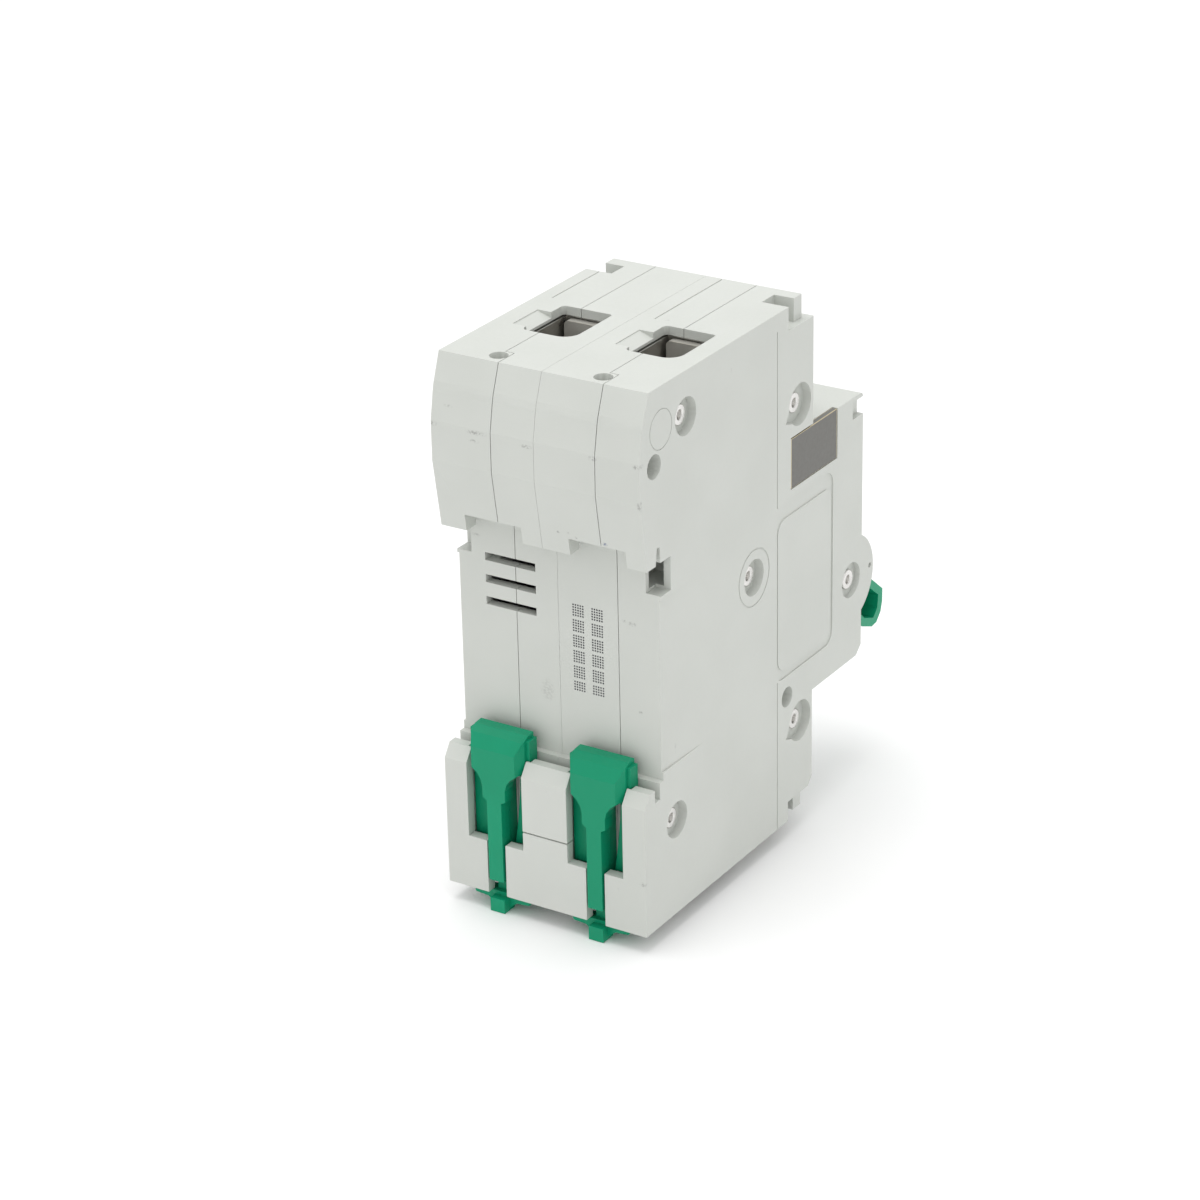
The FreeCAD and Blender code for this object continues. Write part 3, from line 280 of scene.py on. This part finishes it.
DIRT = (0.235, 0.235, 0.225)
FLECK = (0.16, 0.165, 0.17)
FLECK_STRETCH = (1.0, 1.0, 0.35)
INK_SPOT = (0.055, 0.085, 0.200)
WAVINESS_DEPTH = 0.02 * MM
SUBSURFACE_REACH = 0.4 * MM
SCUFFS = (
    # place, reach along each axis (mm), strength, colour
    ((9.9, 5.4, 32.9), (2.0, 1.2, 0.45), 0.75, DIRT),
    ((10.3, 5.4, 31.6), (1.1, 1.2, 0.35), 0.60, DIRT),
    ((17.4, 5.0, 33.0), (0.9, 1.2, 0.50), 0.80, DIRT),
    ((1.3, 5.4, 32.5), (1.3, 1.2, 0.35), 0.65, DIRT),
    ((-10.0, 5.4, 32.9), (0.9, 1.2, 0.45), 0.75, DIRT),
    ((-17.3, 5.0, 33.0), (0.8, 1.2, 0.50), 0.85, DIRT),
    ((-17.7, 5.2, 27.0), (0.5, 0.6, 0.90), 0.85, DIRT),
    ((15.0, 4.6, 36.0), (1.0, 1.4, 0.30), 0.45, DIRT),
    ((-11.1, 4.3, 19.4), (0.55, 0.8, 0.38), 1.00, INK_SPOT),
    ((-3.2, 4.3, 19.7), (0.40, 0.8, 0.25), 0.85, DIRT),
    ((-4.9, 4.3, 19.9), (0.35, 0.8, 0.22), 0.80, DIRT),
    ((-6.2, 4.3, 19.4), (0.35, 0.8, 0.25), 0.80, DIRT),
    ((-12.8, 0.0, 5.4), (0.9, 0.6, 0.45), 0.70, DIRT),
    ((-11.4, 0.0, 5.6), (0.5, 0.6, 0.30), 0.60, DIRT),
    ((-14.0, 0.0, -8.7), (0.38, 0.6, 0.35), 0.90, DIRT),
    ((14.3, 0.0, 13.9), (0.8, 0.6, 0.40), 0.55, DIRT),
    ((2.3, 0.0, -8.9), (1.5, 0.6, 2.20), 0.35, DIRT),
    ((-17.3, 5.4, -34.1), (0.7, 0.8, 0.45), 0.70, DIRT),
)


def handling_marks(n, base):
    """Grey rubs on the corners that stand proud, and a few specks where a finger or pen has been."""
    broken = n.ramp(n.noise(RUB_SCALE, 5.0, 0.65), 0.44, 0.60)
    for place, reach, strength, colour in SCUFFS:
        rubbed = n.math("MULTIPLY", n.spot(place, reach), broken)
        base = n.mix(n.math("MULTIPLY", rubbed, strength), base, colour)
    return base


def moulded(name, colour, dark, rough, grain, flecks=0.0, subsurface=0.0, handled=False,
            specular=0.5):
    """Moulded plastic: fine grain (its depth in mm), slight waviness, colour drift and flecks."""
    n = Nodes(name)
    drift = n.ramp(n.noise(DRIFT_SCALE, 2.0), 0.38, 0.62)
    base = n.mix(drift, colour, dark)
    if flecks:
        fleck = n.stretched_noise(FLECK_STRETCH, FLECK_SCALE, 5.0, 0.62)
        patch = n.ramp(n.noise(PATCH_SCALE, 2.0), 0.60, 0.72)
        mark = n.math("MULTIPLY", n.ramp(fleck, 0.66, 0.74), patch)
        base = n.mix(n.math("MULTIPLY", mark, flecks), base, FLECK)
    if handled:
        base = handling_marks(n, base)
    n.set(Base_Color=base)
    sheen = n.noise(PLASTIC_SHEEN_SCALE, 3.0)
    n.set(Roughness=n.ramp(sheen, *NOISE_SPAN, rough - 0.05, rough + 0.06))
    fine = n.noise(PLASTIC_GRAIN_SCALE, 2.0)
    wide = n.noise(WAVINESS_SCALE, 1.0)
    normal = n.bump(fine, grain * MM)
    n.set(Normal=n.bump(wide, WAVINESS_DEPTH, 0.6, normal))
    n.shader.inputs["Specular IOR Level"].default_value = specular
    if subsurface:
        n.set(Subsurface_Weight=subsurface)
        n.shader.inputs["Subsurface Scale"].default_value = SUBSURFACE_REACH
        n.shader.inputs["Subsurface Radius"].default_value = (1.0, 1.0, 0.9)


METAL_GRAIN_DEPTH = 0.006 * MM


def metal(name, colour, dark, rough, brushed=(1, 1, 1), tarnish=0.35, metallic=1.0):
    """Metal with a fine grain, drawn out along the axis it is brushed on, and cloudy tarnish."""
    n = Nodes(name)
    grain = n.stretched_noise(brushed, METAL_GRAIN_SCALE, 5.0, 0.6)
    cloud = n.ramp(n.noise(TARNISH_SCALE, 4.0), 0.42, 0.66, 0.0, tarnish)
    n.set(Base_Color=n.mix(cloud, colour, dark))
    n.set(Metallic=metallic)
    n.set(Roughness=n.ramp(grain, *NOISE_SPAN, rough - 0.07, rough + 0.09))
    n.set(Normal=n.bump(grain, METAL_GRAIN_DEPTH, 0.8))


WIRE_BAND_SCALE = 353.688
WIRE_BAND_DEPTH = 0.12 * MM


def wound(name, colour, dark):
    """Enamelled wire laid side by side: bands of copper and shadow, with a bump to match."""
    n = Nodes(name)
    wave = n.add("ShaderNodeTexWave", Scale=WIRE_BAND_SCALE, Distortion=0.6, Detail=1.0)
    n.feed(wave.inputs["Vector"], n.where)
    n.set(Base_Color=n.mix(wave.outputs["Fac"], dark, colour))
    n.set(Metallic=0.75)
    n.set(Roughness=n.ramp(n.noise(WIRE_SHEEN_SCALE), *NOISE_SPAN, 0.24, 0.36))
    n.set(Normal=n.bump(wave.outputs["Fac"], WIRE_BAND_DEPTH))


WEAVE_SCALE = 900.0
WEAVE_DEPTH = 0.01 * MM
MASK_GREEN = (0.018, 0.105, 0.050)
TRACK_GREEN = (0.035, 0.180, 0.085)


def laminate(name):
    """Solder mask over glass cloth, with a faint weave and scattered lighter tracks."""
    n = Nodes(name)
    weave = n.add("ShaderNodeTexWave", Scale=WEAVE_SCALE, Distortion=0.2)
    n.feed(weave.inputs["Vector"], n.where)
    track = n.ramp(n.noise(TRACK_SCALE, 1.0), 0.52, 0.55)
    n.set(Base_Color=n.mix(track, MASK_GREEN, TRACK_GREEN))
    n.set(Roughness=n.ramp(n.noise(MASK_SHEEN_SCALE), *NOISE_SPAN, 0.27, 0.37))
    n.set(Normal=n.bump(weave.outputs["Fac"], WEAVE_DEPTH, 0.5))


def make_materials():
    floor_paper()
    make_plastics()
    make_metals()
    laminate("board")
    wound("enamelled_wire", (0.52, 0.19, 0.07), (0.22, 0.07, 0.025))


def make_plastics():
    grey = (0.566, 0.583, 0.548)
    moulded("housing_plastic", grey, (0.546, 0.563, 0.528), rough=0.46, grain=0.012,
            flecks=0.5, subsurface=0.08, handled=True)
    moulded("bridge_plastic", (0.60, 0.61, 0.575), grey, rough=0.44, grain=0.010,
            flecks=0.4, subsurface=0.08)
    moulded("green_plastic", (0.0045, 0.300, 0.155), (0.0040, 0.262, 0.134), rough=0.34,
            grain=0.006, subsurface=0.05, specular=0.22)
    moulded("window_plate", (0.128, 0.126, 0.114), (0.118, 0.116, 0.105), rough=0.42,
            grain=0.010)
    moulded("label", (0.80, 0.80, 0.78), (0.76, 0.76, 0.74), rough=0.33, grain=0.002)
    moulded("fibre", (0.30, 0.130, 0.055), (0.22, 0.092, 0.040), rough=0.72, grain=0.030)
    moulded("white_plastic", (0.74, 0.74, 0.71), (0.69, 0.69, 0.66), rough=0.45, grain=0.008)
    moulded("black_plastic", (0.020, 0.020, 0.022), (0.013, 0.013, 0.014), rough=0.42,
            grain=0.010)
    moulded("button_plastic", (0.66, 0.66, 0.63), (0.62, 0.62, 0.59), rough=0.38, grain=0.006)
    moulded("wire_insulation", (0.018, 0.050, 0.210), (0.013, 0.037, 0.160), rough=0.40,
            grain=0.006)
    moulded("ferrite", (0.035, 0.035, 0.038), (0.024, 0.024, 0.026), rough=0.55, grain=0.020)
    moulded("ink", (0.035, 0.036, 0.042), (0.060, 0.062, 0.068), rough=0.60, grain=0.002)


def make_metals():
    steel_dark = (0.34, 0.33, 0.30)
    metal("rivet_steel", (0.74, 0.73, 0.71), (0.50, 0.49, 0.47), rough=0.24)
    metal("steel", (0.58, 0.57, 0.54), steel_dark, rough=0.34, brushed=(1, 0.08, 1), tarnish=0.5)
    metal("tinned_bar", (0.60, 0.585, 0.54), (0.44, 0.42, 0.38), rough=0.50, metallic=0.65)
    # Lighter brassy metal for the bevel faces of the window plate and the tinned bars: bare metal
    # where they were cut, and a painted edge highlight along their rims.
    metal("cut_edge_and_highlight", (0.62, 0.54, 0.36), (0.45, 0.38, 0.24), rough=0.30)
    metal("spring_steel", (0.50, 0.50, 0.51), (0.30, 0.30, 0.31), rough=0.30)
    metal("copper", (0.80, 0.41, 0.25), (0.42, 0.17, 0.09), rough=0.33, brushed=(1, 1, 0.1),
          tarnish=0.4)
    metal("silver_contact", (0.84, 0.83, 0.80), (0.55, 0.53, 0.49), rough=0.30)
    metal("bimetal_metal", (0.62, 0.56, 0.46), steel_dark, rough=0.35, brushed=(1, 1, 0.06))


# Width in millimetres of the softened edges of each material's pieces.
BEVELS = {
    "housing_plastic": 0.10, "bridge_plastic": 0.14, "green_plastic": 0.20,
    "window_plate": 0.12, "steel": 0.08, "white_plastic": 0.12, "button_plastic": 0.15,
    "copper": 0.06, "rivet_steel": 0.22, "tinned_bar": 0.10,
}
BEVEL_ANGLE = math.radians(32)
BEVEL_SEGMENTS = 2
WELD_REACH = 0.002 * MM
# Pieces whose bevel faces get the lighter cut-edge metal: bare cut metal, and a painted edge
# highlight.
SHEARED_AND_HIGHLIT = ("window_plate", "tinned_bar")


def dress_nodes():
    """Gives every CAD node its material, and softened edges where the real one has them. On the window
    plate and the tinned bars the bevel faces get the lighter cut-edge metal: bare metal, and a painted
    edge highlight.
    """
    for name, piece in NODES.items():
        slot = RECORD_SLOTS[name]
        piece.data.materials.clear()
        piece.data.materials.append(MATERIALS[slot])
        for face in piece.data.polygons:
            face.material_index = 0
        width = BEVELS.get(slot)
        if width:
            weld = piece.modifiers.new("weld", "WELD")
            weld.merge_threshold = WELD_REACH
            bevel = piece.modifiers.new("edges", "BEVEL")
            bevel.width = width * MM
            bevel.segments = BEVEL_SEGMENTS
            bevel.limit_method = "ANGLE"
            bevel.angle_limit = BEVEL_ANGLE
            bevel.use_clamp_overlap = True
            bevel.harden_normals = True
            # The bevel faces take the lighter metal: bare cut metal, and a painted edge highlight.
            if slot in SHEARED_AND_HIGHLIT:
                piece.data.materials.append(MATERIALS["cut_edge_and_highlight"])
                bevel.material = 1


# ---- printed marks ------------------------------------------------------------------------

# Millimetres.
INK_LIFT = 0.012
STRIP_TOP = 6.3
STRIP_PITCH = 0.42
STRIP_STARTS = (-2.6, -5.9)
DOT_RADIUS = 0.15

STRIP_LINES = 34
DOTS_IN_LINE = 5
GAP_EVERY = 6
DOT_SIDES = 8


def strip_dots(start):
    """Places of one strip's dots: even lines down the strip, with every sixth line left out."""
    places = []
    for line in range(STRIP_LINES):
        if line % GAP_EVERY == GAP_EVERY - 1:
            continue
        for dot in range(DOTS_IN_LINE):
            x = start - dot * STRIP_PITCH
            z = STRIP_TOP - line * STRIP_PITCH
            places.append(Vector((x, INK_LIFT, z)) * MM)
    return places


def rail_side_marks():
    """Two strips of an even dot pattern in the recess, where a printed code would be."""
    made = bmesh.new()
    for start in STRIP_STARTS:
        for place in strip_dots(start):
            ring = []
            for i in range(DOT_SIDES):
                angle = -2 * math.pi * i / DOT_SIDES
                flat = Vector((math.cos(angle), 0.0, math.sin(angle)))
                ring.append(made.verts.new(place + flat * DOT_RADIUS * MM))
            made.faces.new(ring)
    mesh = bpy.data.meshes.new("rail_side_dots")
    made.to_mesh(mesh)
    made.free()
    mesh.materials.append(MATERIALS["ink"])
    piece = bpy.data.objects.new("rail_side_dots", mesh)
    bpy.context.scene.collection.objects.link(piece)
    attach(piece, "housing")


def main():
    make_materials()
    dress_nodes()
    make_camera()
    make_stage()
    rail_side_marks()


main()
